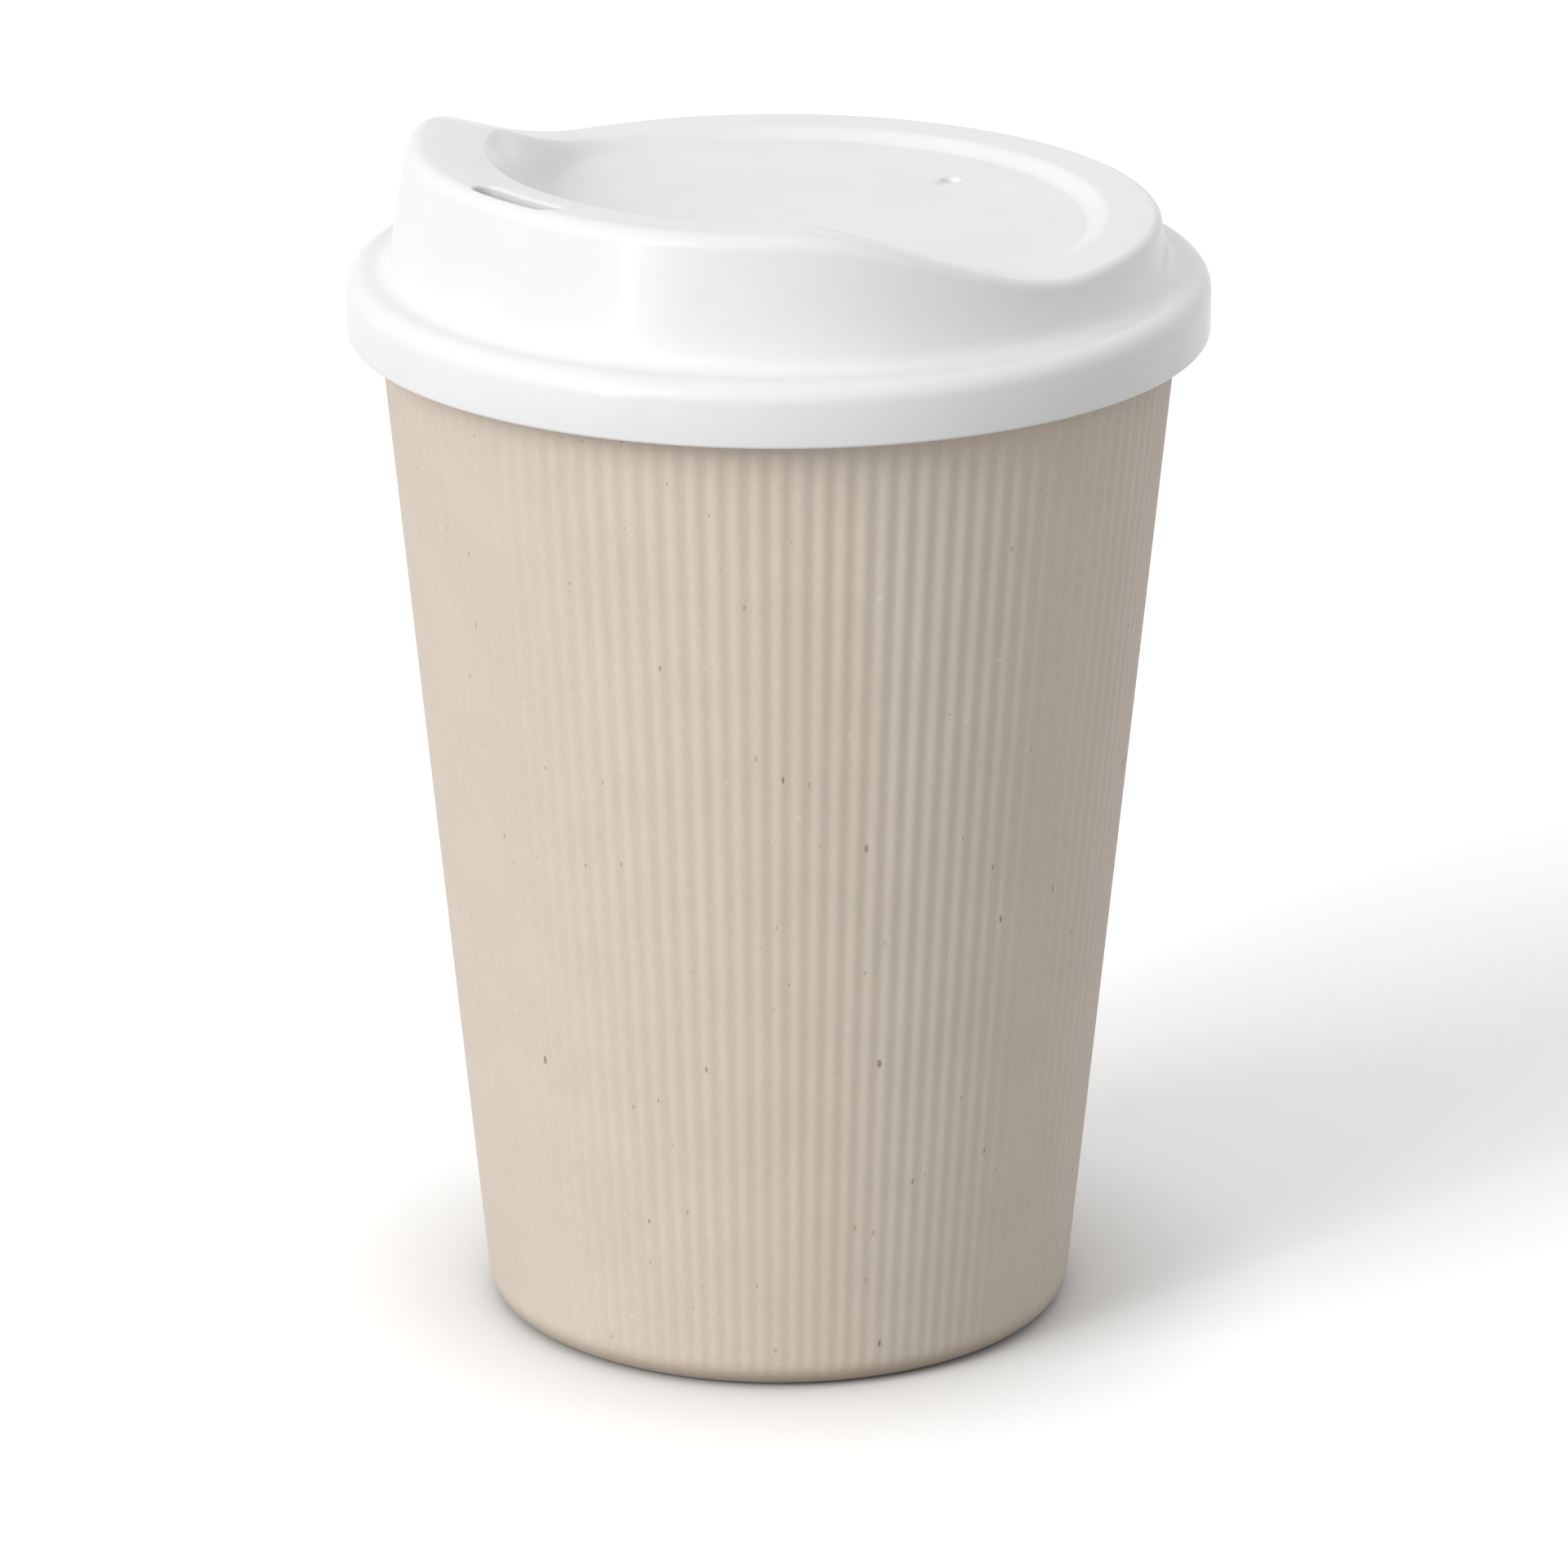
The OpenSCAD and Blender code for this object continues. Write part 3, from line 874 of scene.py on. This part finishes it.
class CUP_OT_drinking_lid(bpy.types.Operator):
    """Makes the drinking lid with its spout, sip slot, plate and vent."""

    bl_idname = "coffee_cup.drinking_lid"
    bl_label = "Drinking lid"

    def execute(self, context):
        form = LidForm(context.scene.lid_sizes, context.scene.cup_sizes)
        whole = form.mesh()
        whole.materials.append(None)
        whole.materials.append(None)
        settle(whole)
        finished = cut(whole, [form.slot_cutter(), form.vent_cutter()])
        finished.name = "drinking_lid"
        settle(finished)
        sides = [face.material_index for face in finished.polygons]
        finished.materials.clear()
        outer = plastic_material("Semi-gloss white plastic", False)
        made = piece("drinking_lid", finished, "lid", "lid", outer)
        made.data.materials.append(plastic_material("White plastic inside the lid", True))
        made.data.polygons.foreach_set("material_index", sides)
        return {"FINISHED"}


# The studio

# The camera, fitted to the outline in the photo.
CAMERA_BEARING = math.radians(48.5)
CAMERA_OUT = 0.96182
CAMERA_UP = 0.39064
CAMERA_PITCH = math.radians(19.021)
CAMERA_LENS = 210.92
CAMERA_SHIFT = 6.7 / 1920.0

FLOOR_R = 6.0
FLOOR_DROP = 0.00002
CONTACT_REACH = 0.026

# The tall, narrow lamp: its bearing to the left of the camera, its place and its size.
STRIP_BEARING = math.radians(44.0)
STRIP_OUT = 1.1
STRIP_UP = 0.36
STRIP_WIDTH = 0.08
STRIP_HEIGHT = 0.7


def seen_ray(tree):
    """1 for rays from the camera, a reflection or glass, and 0 for light thrown between things."""
    path = tree.nodes.new("ShaderNodeLightPath")
    seen = maths(tree, "MAXIMUM", path.outputs["Is Camera Ray"], path.outputs["Is Glossy Ray"])
    return maths(tree, "MAXIMUM", seen, path.outputs["Is Transmission Ray"])


def floor_material(levels):
    """A plain white floor that keeps the object's shadow, with a soft shade where the object stands on it."""
    material, tree, _ = new_material("Studio floor")
    tree.nodes.clear()
    white, bounce = [(level, level, level, 1.0) for level in (levels.floor, levels.floor_bounce)]
    beside = place(tree, "ShaderNodeAmbientOcclusion", {"Distance": CONTACT_REACH})
    hidden = maths(tree, "MULTIPLY", maths(tree, "SUBTRACT", 1.0, beside.outputs["AO"]), levels.contact)
    seen = blend_colours(tree, hidden, white, (0.0, 0.0, 0.0, 1.0))
    mixed = blend_colours(tree, seen_ray(tree), bounce, seen)
    paint = place(tree, "ShaderNodeBsdfDiffuse", {"Color": mixed})
    result = tree.nodes.new("ShaderNodeOutputMaterial")
    tree.links.new(paint.outputs["BSDF"], result.inputs["Surface"])
    return material


class CUP_OT_studio(bpy.types.Operator):
    """Makes the plain floor, the soft light and the camera."""

    bl_idname = "coffee_cup.studio"
    bl_label = "Studio"

    def execute(self, context):
        scene = context.scene
        levels = scene.studio_levels
        scene.view_settings.view_transform = "Standard"

        work = bmesh.new()
        bmesh.ops.create_circle(work, cap_ends=True, segments=96, radius=FLOOR_R)
        floor_mesh = bpy.data.meshes.new("studio_floor")
        work.to_mesh(floor_mesh)
        work.free()
        floor_mesh.materials.append(floor_material(levels))
        floor = bpy.data.objects.new("studio_floor", floor_mesh)
        floor.location.z = -FLOOR_DROP
        scene.collection.objects.link(floor)

        sun_data = bpy.data.lights.new("key_light", "SUN")
        sun_data.energy = levels.key
        sun_data.angle = levels.key_size
        sun = bpy.data.objects.new("key_light", sun_data)
        bearing = CAMERA_BEARING - levels.key_bearing
        sun.rotation_euler = (math.pi / 2.0 - levels.key_height, 0.0, bearing)
        scene.collection.objects.link(sun)

        strip_data = bpy.data.lights.new("strip_light", "AREA")
        strip_data.shape = "RECTANGLE"
        strip_data.size = STRIP_WIDTH
        strip_data.size_y = STRIP_HEIGHT
        strip_data.energy = levels.strip
        strip = bpy.data.objects.new("strip_light", strip_data)
        bearing = CAMERA_BEARING - STRIP_BEARING
        strip.location = (STRIP_OUT * math.sin(bearing), -STRIP_OUT * math.cos(bearing), STRIP_UP)
        strip.rotation_euler = (math.pi / 2.0, 0.0, bearing)
        strip.visible_camera = False
        scene.collection.objects.link(strip)

        world = bpy.data.worlds.new("studio_world")
        scene.world = world
        world.use_nodes = True
        tree = world.node_tree
        background = tree.nodes["Background"]
        background.inputs["Color"].default_value = (1.0, 1.0, 1.0, 1.0)
        strength = place(
            tree, "ShaderNodeMapRange", {"Value": seen_ray(tree), "To Min": levels.fill, "To Max": 1.0}
        )
        tree.links.new(strength.outputs["Result"], background.inputs["Strength"])

        lens = bpy.data.cameras.new("camera")
        lens.lens = CAMERA_LENS
        lens.shift_x = CAMERA_SHIFT
        lens.clip_start = 0.05
        lens.clip_end = 50.0
        camera = bpy.data.objects.new("camera", lens)
        camera.location = (
            CAMERA_OUT * math.sin(CAMERA_BEARING),
            -CAMERA_OUT * math.cos(CAMERA_BEARING),
            CAMERA_UP,
        )
        camera.rotation_euler = (math.pi / 2.0 - CAMERA_PITCH, 0.0, CAMERA_BEARING)
        scene.collection.objects.link(camera)
        scene.camera = camera
        return {"FINISHED"}


# The add-on


class CUP_PT_panel(bpy.types.Panel):
    """Lists the cup's sizes and colours, and the operators that make it."""

    bl_idname = "CUP_PT_panel"
    bl_label = "Fluted coffee cup"
    bl_space_type = "VIEW_3D"
    bl_region_type = "UI"
    bl_category = "Coffee cup"

    def draw(self, context):
        scene = context.scene
        for group in (scene.cup_sizes, scene.lid_sizes, scene.cup_colours, scene.studio_levels):
            box = self.layout.box()
            for name in group.__annotations__:
                box.prop(group, name)
        for operator in OPERATORS:
            self.layout.operator(operator.bl_idname)


GROUPS = {
    "cup_sizes": CupSizes,
    "lid_sizes": LidSizes,
    "cup_colours": FinishColours,
    "studio_levels": StudioLevels,
}
OPERATORS = (CUP_OT_fluted_cup, CUP_OT_drinking_lid, CUP_OT_studio)


def register():
    for name, group in GROUPS.items():
        bpy.utils.register_class(group)
        setattr(bpy.types.Scene, name, bpy.props.PointerProperty(type=group))
    for operator in OPERATORS:
        bpy.utils.register_class(operator)
    bpy.utils.register_class(CUP_PT_panel)


def unregister():
    bpy.utils.unregister_class(CUP_PT_panel)
    for operator in reversed(OPERATORS):
        bpy.utils.unregister_class(operator)
    for name, group in reversed(GROUPS.items()):
        delattr(bpy.types.Scene, name)
        bpy.utils.unregister_class(group)


def main():
    register()
    bpy.ops.coffee_cup.fluted_cup()
    bpy.ops.coffee_cup.drinking_lid()
    bpy.ops.coffee_cup.studio()


if __name__ == "__main__":
    main()
